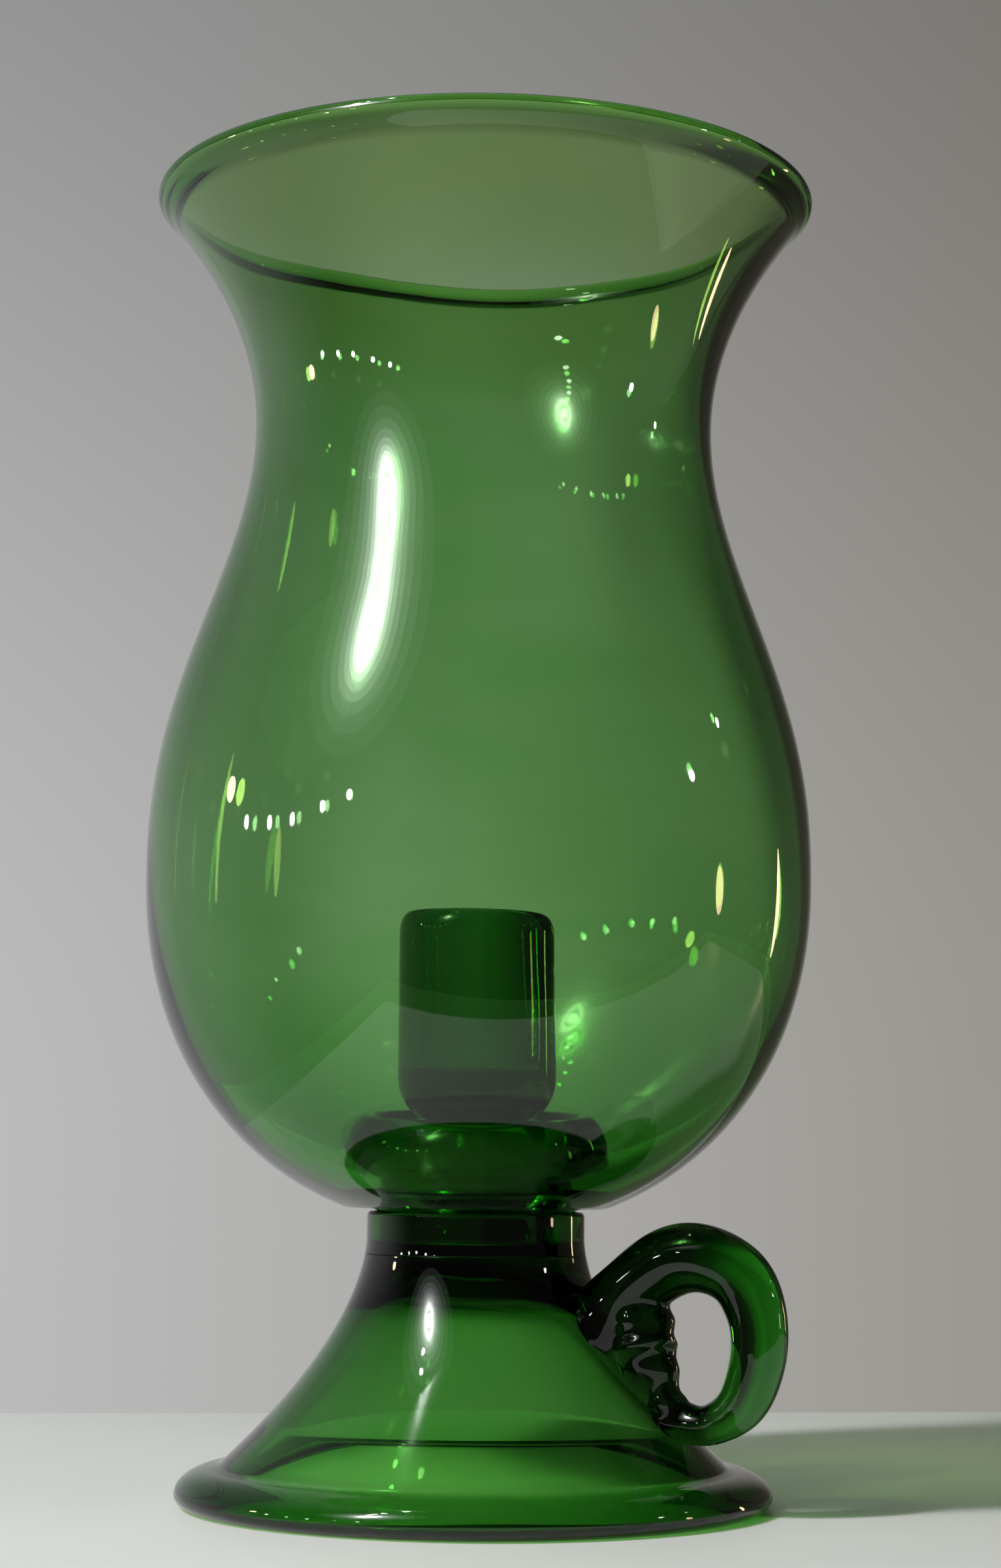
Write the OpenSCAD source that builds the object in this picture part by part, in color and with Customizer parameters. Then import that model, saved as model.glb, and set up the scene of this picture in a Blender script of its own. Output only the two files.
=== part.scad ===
// Hand-blown hurricane candlestick: a bell foot with a collar, a candle cup and a finger loop,
// and a loose glass shade that stands in the collar and lifts straight off over the cup.
// Millimetres, +Z up, origin under the middle of the foot on the table, finger loop along +X.

/* [Foot] */
// Diameter over the folded rim of the foot
foot_d = 108; // [100:1:116]
// Thickness of the folded rim
fold_t = 7; // [5:0.1:10]
// Height of the rim's widest point above the table
fold_edge = 2.4; // [1.5:0.1:4]
// Width of the folded rim, from its outer edge in to the flank
fold_w = 7.6; // [5:0.1:12]
// Height of the bell, from the table to the underside of the collar
bell_h = 45; // [41:0.5:52]
// Wall of the bell, measured level
bell_wall = 3.8; // [2.5:0.1:6]
// How much thicker that wall has grown where it meets the table
heel_t = 3.2; // [0:0.1:4]
// Height above the table at which the thickening starts
heel_h = 13.4; // [8:0.1:20]
// Height of the upright edge of the hollow at the table
sole_h = 1.8; // [1:0.1:4]
// Solid glass between the bell's hollow and the collar
crown_t = 2.7; // [1.5:0.1:6]
// How fast the flank spreads towards the foot
flank_power = 1.7; // [1.3:0.02:2.4]
// How flat the top of the hollow is: 2 is a round dome, more is flatter
dome_power = 14; // [4:1:20]

/* [Collar] */
// Wall of the collar
collar_wall = 1.8; // [1.4:0.1:3]
// Thickness of the collar's floor
collar_floor = 1.9; // [1.5:0.1:6]
// Depth of the collar, from its lip to its floor
collar_depth = 5.8; // [4:0.1:12]
// Part of the collar's height below the lip that stays straight
collar_straight = 4.7; // [1:0.1:5.5]

/* [Candle cup] */
// Bore of the candle cup, for a 22 mm taper candle
socket_d = 23; // [20:0.1:26]
// Depth of the bore
socket_depth = 31.5; // [20:0.5:45]
// Wall of the candle cup
cup_wall = 3; // [2:0.1:4]
// Diameter of the stem under the cup
stem_d = 15; // [12:0.5:24]
// Height of the solid plug under the stem, which fills the shade's neck
plug_h = 11; // [6:0.5:14]
// Height over which the plug narrows to the stem
narrow_h = 7; // [4:0.5:12]
// Straight height of the stem
stem_h = 1.9; // [0.5:0.1:8]
// Height of the rounded underside of the cup
cup_round = 8.6; // [4:0.1:12]
// Height over which the outer edge of the cup's lip is rounded
lip_round = 4; // [2:0.1:6]
// Rounding of the bore's edge at the lip
bore_edge = 0.6; // [0.3:0.1:1.2]

/* [Finger loop] */
// Reach of the loop from the middle of the foot to its outer edge
loop_reach = 60; // [57:0.5:61]
// How far the top of the loop stands above the bell
loop_rise = 6; // [2:0.5:7]
// Height of the underside of the loop above the table
loop_low = 13; // [11.6:0.2:16]
// Diameter of the glass where the loop leaves the bell
root_d = 13; // [10:0.5:15]
// Diameter of the glass over the top of the loop
crest_d = 12.2; // [9:0.2:13]
// Diameter of the glass at the outer side of the loop
limb_d = 10.6; // [8:0.2:12]
// Diameter of the glass along the underside of the loop
low_d = 6.8; // [6:0.2:9]
// Diameter of the tail that is laid up the flank under the root
tail_d = 11.4; // [8:0.2:12]
// How deep the glass of the loop is worked into the flank before the flank trims it
root_bite = 1.6; // [0.8:0.1:2.4]

/* [Shade] */
// Height of the shade, from its neck to its lip
shade_h = 196.5; // [160:0.5:230]
// Diameter over the flared lip
rim_d = 124; // [116:1:150]
// Diameter at the waist under the lip
waist_d = 86; // [70:1:100]
// Height of the waist above the collar's floor
waist_h = 151; // [130:1:170]
// Diameter of the belly
belly_d = 123; // [100:1:124]
// Height of the belly above the collar's floor
belly_h = 66.6; // [55:0.5:85]
// Wall of the blown shade
shade_wall = 2.2; // [1.6:0.1:3]
// Wall of the shade's neck
neck_wall = 2.5; // [2:0.1:3]
// Thickness of the bottom of the bowl
bowl_floor = 5; // [2.4:0.1:6]
// How far the flat underside of the bowl reaches out past the collar
bowl_flat = 4.1; // [1:0.1:7]
// Diameter of the thick ring of glass round the neck, inside the bowl
ring_d = 49; // [44:0.5:56]
// Height of that ring above the bottom of the bowl
ring_h = 9.4; // [6:0.2:14]
// Diameter of the fire-polished bead along the lip
lip_bead_d = 4; // [2:0.1:5]
// How square the lower bowl is: 2 is an ellipse, more is fuller
bowl_power = 2.15; // [1.9:0.01:2.5]
// How late the flare opens towards the lip
flare_power = 2; // [1.6:0.01:3]
// How late the shoulder falls from the belly to the waist
shoulder_power = 1.16; // [0.9:0.01:1.4]

/* [Fits] */
// Gap all round between the shade's neck and the collar
seat_gap = 0.35; // [0.3:0.05:0.8]
// Gap all round between the candle cup and the shade's neck
cup_gap = 0.75; // [0.5:0.05:1.5]
// Gap between the collar's lip and the bowl above it
lip_gap = 0.6; // [0.4:0.1:2]

/* [Hidden] */
$fn = 72;
foot_r = foot_d / 2;
flank_r0 = foot_r - fold_w;
fold_under = fold_w * 0.46;
socket_r = socket_d / 2;
cup_r = socket_r + cup_wall;
neck_in = cup_r + cup_gap;
neck_r = neck_in + neck_wall;
collar_in = neck_r + seat_gap;
collar_r = collar_in + collar_wall;
floor_z = bell_h + collar_floor;
lip_z = floor_z + collar_depth;
flank_top = lip_z - collar_straight;
hollow_top = bell_h - crown_t;
plug_z = floor_z + plug_h;
stem_z = plug_z + narrow_h + stem_h;
socket_z = stem_z + cup_round;
cup_top = socket_z + socket_depth;
stem_r = stem_d / 2;
plug_r = cup_r - 0.4;
rim_z = floor_z + shade_h;
rim_r = rim_d / 2;
waist_r = waist_d / 2;
waist_z = floor_z + waist_h;
belly_r = belly_d / 2;
belly_z = floor_z + belly_h;
bowl_low_r = collar_r + bowl_flat;
bowl_low_z = lip_z + lip_gap;
lip_end_z = rim_z - lip_bead_d / 2;

// Half width of the bell's flare at height z, carried on down behind the rim
function flare_r(z) = collar_r + (flank_r0 - collar_r)
    * pow((flank_top - min(z, flank_top)) / (flank_top - fold_t), flank_power);
// Half width of the bell and the collar's outside at height z
function flank_r(z) = flare_r(max(z, fold_t));

// Points on a quarter or half ellipse about (cr, cz), from angle a to angle b
function arc(cr, cz, sr, sz, a, b, n) =
    [for (i = [0:n]) [cr + sr * cos(a + (b - a) * i / n), cz + sz * sin(a + (b - a) * i / n)]];

// Level width of the bell's wall at height z, thicker towards the table
function wall_w(z) = bell_wall + heel_t * max(0, 1 - z / heel_h);
// Half width of the bell's hollow at height z, closing in a dome at its top
function hollow_r(z) = (flare_r(z) - wall_w(z)) * sqrt(max(0, 1 - pow(z / hollow_top, dome_power)));

// Outer outline of the bell from the flank's foot up to the collar
flank_line = [for (i = [0:14]) let (z = fold_t + (bell_h - fold_t) * i / 14) [flank_r(z), z]];
// Outline of the hollow from its dome down to its upright edge
hollow_line = [for (i = [0:14])
    let (z = sole_h + (hollow_top - sole_h) * (1 - pow(i / 14, 2))) [hollow_r(z), z]];
// Rounded edge of the folded rim
fold_line = concat(
    arc(foot_r - fold_under, fold_edge, fold_under, fold_edge, -90, 0, 5),
    arc(flank_r0, fold_edge, fold_w, fold_t - fold_edge, 12, 78, 5));

module bell_outside() {
    rotate_extrude()
        polygon(concat([[0, 0]], fold_line, flank_line, [[0, bell_h]]));
}

module bell_foot() {
    color([0.16, 0.42, 0.17])
        rotate_extrude()
            polygon(concat(hollow_line, [[hollow_r(sole_h), 0]], fold_line, flank_line, [[0, bell_h]]));
}

// Outside of the collar, carrying the flank on up to its straight lip
collar_line = [for (i = [0:4]) let (z = bell_h + (flank_top - bell_h) * i / 4) [flank_r(z), z]];

module collar() {
    half = collar_wall / 2;
    color([0.10, 0.30, 0.12])
        rotate_extrude()
            polygon(concat(
                [[0, bell_h]],
                collar_line,
                arc(collar_r - half, lip_z - half, half, half, 0, 180, 6),
                [[collar_in, floor_z], [0, floor_z]]));
}

module candle_cup() {
    color([0.13, 0.36, 0.15])
        rotate_extrude()
            polygon(concat(
                [[0, floor_z], [plug_r, floor_z]],
                arc(plug_r, plug_z + narrow_h, plug_r - stem_r, narrow_h, 270, 180, 5),
                arc(stem_r, socket_z, cup_r - stem_r, cup_round, 270, 360, 6),
                arc(socket_r + bore_edge, cup_top - lip_round, cup_wall - bore_edge, lip_round, 0, 90, 6),
                arc(socket_r + bore_edge, cup_top - bore_edge, bore_edge, bore_edge, 120, 180, 2),
                [[socket_r, socket_z], [0, socket_z]]));
}

// Depth of the bowl's full curve below the belly, and the angle at which its flat underside cuts it
bowl_b = (belly_z - bowl_low_z) / pow(1 - pow(bowl_low_r / belly_r, bowl_power), 1 / bowl_power);
bowl_a = acos(pow(bowl_low_r / belly_r, bowl_power / 2));

// Share of the way from the belly up to the waist at height z
function shoulder_share(z) = pow((z - belly_z) / (waist_z - belly_z), shoulder_power);
// Half width of the shade above its belly, at height z
function upper_r(z) = z < waist_z
    ? waist_r + (belly_r - waist_r) * (1 + cos(180 * shoulder_share(z))) / 2
    : waist_r + (rim_r - waist_r) * pow((z - waist_z) / (lip_end_z - waist_z), flare_power);

// Point on the lower bowl, a fuller ellipse of half width a and depth b under the belly
function bowl_point(a, b, w) = [a * pow(cos(w), 2 / bowl_power), belly_z - b * pow(sin(w), 2 / bowl_power)];

// Outside of the shade: the bowl up to the belly, then the shoulder and the flare up to the lip
outer_bowl = [for (i = [0:12]) bowl_point(belly_r, bowl_b, bowl_a * (1 - i / 12))];
upper_z = [for (i = [1:22]) belly_z + (lip_end_z - belly_z) * i / 22];
outer_upper = [for (z = upper_z) [upper_r(z), z]];
// Inside of the shade, with the thick ring round the neck standing up from the bottom of the bowl
inner_r = belly_r - shade_wall;
inner_b = bowl_b - bowl_floor;
ring_r = ring_d / 2;
ring_z = bowl_low_z + bowl_floor + 0.5;
inner_a = acos(pow((ring_r + 1.6) / inner_r, bowl_power / 2));
inner_bowl = [for (i = [0:12]) bowl_point(inner_r, inner_b, inner_a * i / 12)];
// Rounded top of the thick ring, from its outer side over to the neck
ring_line = arc((ring_r + neck_in) / 2, ring_z, (ring_r - neck_in) / 2, ring_h, 0, 180, 10);
// The wall is measured square to the surface, so its level width grows where the flare leans out
function lean(z) = (upper_r(z) - upper_r(z - 0.5)) / 0.5;
function level_wall(z) = shade_wall * sqrt(1 + pow(lean(z), 2));
inner_upper = [for (i = [20:-1:0]) let (z = upper_z[i]) [upper_r(z) - level_wall(z), z]];

// Rounded lip that closes the wall at the top
lip_line = arc(rim_r - lip_bead_d / 2, lip_end_z, lip_bead_d / 2, lip_bead_d / 2, 30, 180, 6);

module hurricane_shade() {
    color([0.32, 0.58, 0.30, 0.6])
        rotate_extrude()
            polygon(concat(
                [[neck_in, floor_z], [neck_r, floor_z], [neck_r, bowl_low_z - 0.2]],
                outer_bowl,
                outer_upper,
                lip_line,
                inner_upper,
                inner_bowl,
                ring_line));
}

// Middle line of the finger loop in the XZ plane, from the root on the flank round to the underside
limb_x = loop_reach - limb_d / 2;
top_z = bell_h + loop_rise - crest_d / 2;
low_z = loop_low + low_d / 2;
root_z = bell_h - root_d / 2 - 6;
mid_z = (top_z + low_z) / 2;
// Level widths from the flank out to the outer limb, at the root and at the underside
root_span = limb_x - flank_r(root_z);
low_span = limb_x - flank_r(low_z);
loop_path = [
    [flank_r(root_z) - root_bite, root_z - root_bite * 0.8],
    [flank_r(root_z) + root_span * 0.12, root_z + 4.9],
    [limb_x - root_span * 0.59, top_z - 1.2],
    [limb_x - root_span * 0.353, top_z],
    [limb_x - root_span * 0.128, top_z - 3],
    [limb_x - 0.4, mid_z + 5],
    [limb_x - 0.2, mid_z - 2.5],
    [limb_x - low_span * 0.17, low_z + 4.2],
    [limb_x - low_span * 0.483, low_z + 0.3],
    [limb_x - low_span * 0.8, low_z],
    [flank_r(low_z) - root_bite, low_z + 0.6]];
loop_size = [root_d, root_d * 0.95, (root_d + crest_d) / 2, crest_d, (crest_d + limb_d) / 2, limb_d,
    limb_d * 0.95, limb_d * 0.84, low_d * 1.06, low_d, low_d];
// Middle line of the tail, from inside the underside of the loop up the flank into the root
tail_path = [
    [limb_x - low_span * 0.56, low_z + 0.4],
    [flank_r(low_z + 1.6) + low_span * 0.2, low_z + 1.6],
    [flank_r(low_z + 5.8) + tail_d * 0.34, low_z + 5.8],
    [flank_r(low_z + 11.6) + tail_d * 0.5, low_z + 11.6],
    [flank_r(low_z + 16) + tail_d * 0.66, low_z + 16],
    [flank_r(low_z + 20) + tail_d * 0.77, low_z + 20]];
tail_size = [low_d * 0.7, low_d, tail_d * 0.7, tail_d, tail_d * 1.06, tail_d * 0.98];

// Smooth value between list entries i and i + 1 at share t
function blend(v, i, t) = let (a = v[max(i - 1, 0)], b = v[i], c = v[i + 1], d = v[min(i + 2, len(v) - 1)])
    b + 0.5 * t * (c - a + t * (2 * a - 5 * b + 4 * c - d + t * (3 * (b - c) + d - a)));
// Value at share s of the whole list
function along(v, s) = let (u = s * (len(v) - 1), i = min(floor(u), len(v) - 2)) blend(v, i, u - i);

sides = 18;

// One ring of points square to a middle line at share s
function ring(path, size, s) = let (
    c = along(path, s),
    d = along(path, min(s + 0.004, 1)) - along(path, max(s - 0.004, 0)),
    n = [-d[1], d[0]] / norm(d),
    r = along(size, s) / 2)
    [for (k = [0:sides - 1]) let (w = 360 * k / sides)
        [c[0] + r * cos(w) * n[0], r * sin(w), c[1] + r * cos(w) * n[1]]];

// A round rod of changing thickness along a middle line
module rod(path, size, rings) {
    faces = concat(
        [[for (k = [sides - 1:-1:0]) k]],
        [for (j = [0:rings - 1]) for (k = [0:sides - 1]) let (m = (k + 1) % sides)
            [j * sides + k, j * sides + m, (j + 1) * sides + m]],
        [for (j = [0:rings - 1]) for (k = [0:sides - 1]) let (m = (k + 1) % sides)
            [j * sides + k, (j + 1) * sides + m, (j + 1) * sides + k]],
        [[for (k = [0:sides - 1]) rings * sides + k]]);
    points = [for (j = [0:rings]) each ring(path, size, j / rings)];
    polyhedron(points = points, faces = faces, convexity = 4);
}

module handle() {
    color([0.10, 0.33, 0.11])
        difference() {
            union() {
                rod(loop_path, loop_size, 44);
                rod(tail_path, tail_size, 16);
            }
            bell_outside();
        }
}

bell_foot();
collar();
candle_cup();
handle();
hurricane_shade();
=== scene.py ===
"""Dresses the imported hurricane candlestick: hand-worked green glass on a pale table."""

import math

import bmesh
import bpy
from bpy.props import FloatProperty, FloatVectorProperty, IntProperty, PointerProperty
from bpy.types import Operator, Panel, PropertyGroup
from mathutils import Matrix, Vector


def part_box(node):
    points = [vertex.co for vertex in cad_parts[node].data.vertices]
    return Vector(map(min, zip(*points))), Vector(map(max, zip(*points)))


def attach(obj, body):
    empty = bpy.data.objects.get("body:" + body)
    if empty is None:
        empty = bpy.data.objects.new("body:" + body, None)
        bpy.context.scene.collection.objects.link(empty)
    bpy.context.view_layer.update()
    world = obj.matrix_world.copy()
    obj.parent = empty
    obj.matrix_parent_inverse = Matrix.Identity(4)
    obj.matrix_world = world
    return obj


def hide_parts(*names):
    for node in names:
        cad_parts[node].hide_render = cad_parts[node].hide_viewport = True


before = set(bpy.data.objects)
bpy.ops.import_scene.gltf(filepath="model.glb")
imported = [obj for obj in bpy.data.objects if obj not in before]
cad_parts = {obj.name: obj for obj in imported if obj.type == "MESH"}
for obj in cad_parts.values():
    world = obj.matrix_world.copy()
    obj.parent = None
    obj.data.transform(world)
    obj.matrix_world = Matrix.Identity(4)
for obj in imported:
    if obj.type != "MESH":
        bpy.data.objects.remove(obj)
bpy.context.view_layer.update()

bl_info = {
    "name": "Hurricane candlestick",
    "version": (1, 0, 0),
    "blender": (4, 5, 0),
    "location": "3D View > Sidebar > Candlestick",
    "description": "Builds the glass pieces of a hurricane candlestick and the table it stands on",
    "category": "Object",
}

# Glass pieces that touch are kept this far apart, so that each stays a closed body of its own
HAIRLINE = 0.00002
# What a face of plain glass, and of the foot's, leaves of the light that makes its shadow
CLEAR = (0.88, 0.73, 0.75)
CLEAR_FOOT = (0.99, 0.90, 0.91)
# Stain of the glass by the strength of its drawn-out cords
STAIN = (
    (0.30, (0.90, 0.97, 0.87, 1)),
    (0.52, (0.96, 0.99, 0.94, 1)),
    (0.74, (0.86, 0.95, 0.84, 1)),
)
# Tones of the foot's folded rim and of the shade's lip, and the colour of the painted shade on the
# loop
RIM_TONE = (0.95, 0.66, 1.0)
LIP_TONE = (0.87, 0.89, 0.63)
PAINTED_SHADE = (0.05, 0.08, 0.05)
# The lip's high side, in radians from +X, and how its rise is shared between high and low side
LIP_HIGH_SIDE = 2.0
LIP_BALANCE = 0.23
# What the pale wall keeps of its colour at the right end of the view
WALL_FADE = (0.655, 0.625, 0.57)
# Height that the lamps face, and how far off the main ones, the core and the small ones stand
LAMP_AIM = 0.12
LAMP_DISTANCE, CORE_DISTANCE, SMALL_DISTANCE = 1.3, 1.29, 1.2
CORE_POWER = 3.6
# Panels of the main highlight: their count, the first one's width and brightness, how much wider
# and fainter each next one is, how far behind the last one it stands, and a panel's height, which
# has a fixed part and a share of its width
GLOW_COUNT, GLOW_WIDTH, GLOW_BRIGHTNESS = 8, 0.15, 12
GLOW_GROWTH, GLOW_FADE, GLOW_GAP = 1.28, 0.57, 0.004
GLOW_HEIGHT, GLOW_STRETCH = 0.12, 1.2
WHITE, WARM = (1.0, 1.0, 1.0), (1.0, 0.76, 0.40)
# Small lights about the room: turn from the camera and rise in degrees, width, power and colour
SMALL_LIGHTS = (
    (-56, 52, 0.04, 0.40, WHITE),
    (-59, 57, 0.04, 0.40, WHITE),
    (-62, 63, 0.04, 0.40, WHITE),
    (-80, 74, 0.04, 0.40, WHITE),
    (-92, 13, 0.08, 0.50, WARM),
    (-83, 8.5, 0.04, 0.18, WHITE),
    (-73, 8.5, 0.04, 0.18, WHITE),
    (-64, 9, 0.04, 0.18, WHITE),
    (-53, 11, 0.04, 0.18, WHITE),
    (-44, 13, 0.04, 0.18, WHITE),
    (77, 17, 0.05, 0.35, WHITE),
    (95, 24, 0.03, 0.06, WHITE),
)
# Tall warm lights on the right: turn from the camera in degrees, width, height and power
FAR_LIGHTS = (
    (121, 0.05, 0.30, 0.5),
    (87, 0.08, 0.20, 0.5),
)


def length(name, description, default):
    """A size in metres for a property group."""
    return FloatProperty(
        name=name, description=description, default=default, unit="LENGTH", precision=4)


def swing(name, description, degrees):
    """An angle for a property group."""
    return FloatProperty(
        name=name, description=description, default=math.radians(degrees), subtype="ANGLE")


def share(name, description, default):
    """A plain number for a property group."""
    return FloatProperty(name=name, description=description, default=default)


def colour(name, description, default):
    """A linear colour for a property group."""
    return FloatVectorProperty(
        name=name, description=description, default=default, size=3, subtype="COLOR")


class FootSizes(PropertyGroup):
    """Sizes of the bell foot."""

    radius: length("Radius", "Half the width over the folded rim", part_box("bell_foot")[1][1])
    height: length(
        "Height", "From the table to the underside of the collar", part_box("bell_foot")[1][2])
    fold_height: length("Fold height", "Thickness of the folded rim", 0.007)
    fold_edge: length("Fold edge", "Height of the rim's widest line", 0.0024)
    fold_width: length("Fold width", "From the rim's outer edge in to the flank", 0.0076)
    wall: length("Wall", "Wall of the bell, measured level", 0.0038)
    heel: length("Heel", "How much thicker the wall is where it meets the table", 0.0032)
    heel_height: length("Heel height", "Height at which the thickening starts", 0.0134)
    sole: length("Sole", "Height of the hollow's upright edge at the table", 0.0018)
    crown: length("Crown", "Solid glass between the hollow and the collar", 0.0027)
    spread: share("Spread", "How fast the flank spreads towards the foot", 1.70)
    dome: share("Dome", "How flat the top of the hollow is", 14.0)
    waver: length("Waver", "How far the top of the hollow rises and falls", 0.0024)


class CollarSizes(PropertyGroup):
    """Sizes of the collar."""

    radius: length("Radius", "Half the width at the lip", 0.0199)
    lip: length("Lip height", "Height of the lip above the table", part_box("collar")[1][2])
    wall: length("Wall", "Wall of the collar", 0.0018)
    floor: length("Floor", "Thickness of the floor", 0.0019)
    straight: length("Straight", "Straight part under the lip", 0.0047)


class CupSizes(PropertyGroup):
    """Sizes of the candle cup."""

    radius: length("Radius", "Half the width of the cup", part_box("candle_cup")[1][0])
    top: length("Top", "Height of the cup's lip above the table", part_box("candle_cup")[1][2])
    bore: length("Bore", "Half the width of the bore", 0.0115)
    depth: length("Depth", "Depth of the bore", 0.0315)
    plug: length("Plug", "Height of the plug that stands in the shade's neck", 0.011)
    narrow: length("Narrow", "Height over which the plug narrows to the stem", 0.007)
    stem: length("Stem", "Half the width of the stem", 0.0075)
    underside: length("Underside", "Height of the rounded underside", 0.0086)
    lip: length("Lip", "Height of the rounded lip", 0.004)
    edge: length("Edge", "Rounding of the bore's edge", 0.0006)


class LoopSizes(PropertyGroup):
    """Sizes of the finger loop."""

    reach: length(
        "Reach", "From the middle of the foot to the loop's outer edge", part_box("handle")[1][0])
    top: length("Top", "Height of the loop's top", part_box("handle")[1][2])
    low: length("Low", "Height of the loop's underside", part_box("handle")[0][2])
    root: length("Root", "Thickness where the loop leaves the flank", 0.013)
    crest: length("Crest", "Thickness at the top of the loop", 0.0122)
    limb: length("Limb", "Thickness at the outer side", 0.0106)
    under: length("Under", "Thickness along the underside", 0.0068)
    tail: length("Tail", "Thickness of the tail laid up the flank", 0.0114)
    bite: length("Bite", "How deep the rod reaches under the flank before it is trimmed", 0.0016)


class ShadeSizes(PropertyGroup):
    """Sizes of the shade."""

    rim: length("Rim", "Half the width over the lip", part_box("hurricane_shade")[1][0])
    top: length("Top", "Height of the lip above the table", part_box("hurricane_shade")[1][2])
    waist: length("Waist", "Half the width at the waist", 0.043)
    waist_height: length("Waist height", "Height of the waist above the table", 0.1979)
    belly: length("Belly", "Half the width at the belly", 0.0615)
    belly_height: length("Belly height", "Height of the belly above the table", 0.1135)
    wall: length("Wall", "Wall of the blown shade", 0.0022)
    neck: length("Neck", "Half the width of the neck outside", 0.01775)
    neck_wall: length("Neck wall", "Wall of the neck", 0.0025)
    floor: length("Bowl floor", "Thickness of the bottom of the bowl", 0.005)
    flat: length("Flat", "Level part of the bowl's underside outside the collar", 0.0041)
    clear: length("Clearance", "From the collar's lip up to the bowl", 0.0006)
    ring: length("Ring", "Half the width of the thick ring round the neck", 0.0245)
    ring_height: length("Ring height", "Height of that ring above the bottom of the bowl", 0.0094)
    lip: length("Lip", "Thickness of the rounded lip", 0.004)
    bowl_power: share("Bowl power", "How full the lower bowl is", 2.15)
    flare_power: share("Flare power", "How late the flare opens", 2.0)
    lift: length("Lift", "How much higher the lip stands at the back than at the front", 0.0022)
    shoulder_power: share("Shoulder power", "How late the shoulder falls to the waist", 1.16)


class GlassLook(PropertyGroup):
    """How the glass looks and how uneven the hand left it."""

    tint: colour("Tint", "Colour that deep glass keeps", (0.185, 0.69, 0.06))
    depth: share("Depth", "How strongly a metre of glass takes light away", 400.0)
    index: share("Index", "Refractive index", 1.5)
    haze: share("Haze", "Roughness of the cleanest glass", 0.02)
    sway: length("Sway", "How far the blown walls stray from true round", 0.00028)
    sides: IntProperty(name="Sides", description="Facets round a turned piece", default=192, min=24)


class StageLook(PropertyGroup):
    """Table, room, lamps and camera."""

    azimuth: swing("Azimuth", "Camera's turn from the -Y side", 25)
    distance: length("Distance", "From the camera to the candlestick's middle line", 0.541)
    height: length("Height", "Camera's height above the table", 0.062)
    pitch: swing("Pitch", "Upward tilt of the camera", 7.32)
    yaw: swing("Yaw", "Turn of the camera to the right", 0.405)
    roll: swing("Roll", "Clockwise lean of the picture", 0.5)
    lens: share("Lens", "Focal length in millimetres for a 36 mm long side", 67.2)
    lamp_turn: swing("Lamp turn", "How far to the camera's left the main lamps stand", 49.5)
    lamp_rise: swing("Lamp rise", "How high the main lamps stand over the table", 43.5)
    lamp_power: share("Lamp power", "Power in watts of the lamp that lights the table", 8.2)
    table_turn: swing("Table turn", "Turn of the table against the camera's view", 6)
    table_back: length("Table back", "From the middle line to the table's back edge", 0.1995)
    table_front: length("Table front", "From the middle line to the table's front edge", 0.1512)
    table_left: length("Table left", "From the middle line to the table's left edge", 0.1124)
    table_right: length("Table right", "From the middle line to the table's right edge", 0.60)
    table: colour("Table", "Colour of the table top", (0.78, 0.80, 0.76))
    wall_pale: colour("Pale wall", "Room colour on the lit side", (0.482, 0.486, 0.487))
    wall_dim: colour("Dim wall", "Room colour on the far right", (0.085, 0.08, 0.062))
    wall_dark: colour(
        "Dark wall", "Room colour behind the camera, as the glass sees it", (0.05, 0.048, 0.042))


class Wire:
    """A shader socket that takes part in sums: an expression on wires adds its Math nodes."""

    def __init__(self, tree, socket):
        self.tree = tree
        self.socket = socket

    def maths(self, operation, first, second):
        """Adds a Math node on two wires or numbers."""
        node = self.tree.nodes.new("ShaderNodeMath")
        node.operation = operation
        plug(self.tree, first, node.inputs[0])
        plug(self.tree, second, node.inputs[1])
        return Wire(self.tree, node.outputs[0])

    def __add__(self, other):
        return self.maths("ADD", self, other)

    def __radd__(self, other):
        return self.maths("ADD", other, self)

    def __sub__(self, other):
        return self.maths("SUBTRACT", self, other)

    def __rsub__(self, other):
        return self.maths("SUBTRACT", other, self)

    def __mul__(self, other):
        return self.maths("MULTIPLY", self, other)

    def __rmul__(self, other):
        return self.maths("MULTIPLY", other, self)


def plug(tree, value, socket):
    """Links a wire into a socket, or sets the socket's own value."""
    if isinstance(value, Wire):
        tree.links.new(value.socket, socket)
    else:
        socket.default_value = value


class Recipe:
    """A node tree that is filled node by node."""

    def __init__(self, tree):
        self.tree = tree
        tree.nodes.clear()

    def add(self, kind, settings=None, sockets=None, out=0):
        """Adds a node: its settings first, then the values or wires of its sockets."""
        node = self.tree.nodes.new(kind)
        for key, value in (settings or {}).items():
            if key == "stops":
                ramp = node.color_ramp.elements
                while len(ramp) < len(value):
                    ramp.new(0.5)
                for stop, (place, tint) in zip(ramp, value):
                    stop.position = place
                    stop.color = tint
            else:
                setattr(node, key, value)
        for key, value in (sockets or {}).items():
            plug(self.tree, value, node.inputs[key])
        return Wire(self.tree, node.outputs[out]) if node.outputs else node

    def ramp(self, value, low, high, start=0.0, end=1.0, kind="SMOOTHSTEP"):
        """Goes from start to end while a value goes from low to high."""
        return self.add(
            "ShaderNodeMapRange", {"interpolation_type": kind},
            {"Value": value, "From Min": low, "From Max": high, "To Min": start, "To Max": end})

    def blend(self, factor, first, second, kind="MIX"):
        """Mixes a second colour over a first one by a factor."""
        return self.add(
            "ShaderNodeMix", {"data_type": "RGBA", "blend_type": kind},
            {"Factor": factor, 6: first, 7: second}, out="Result")


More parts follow.
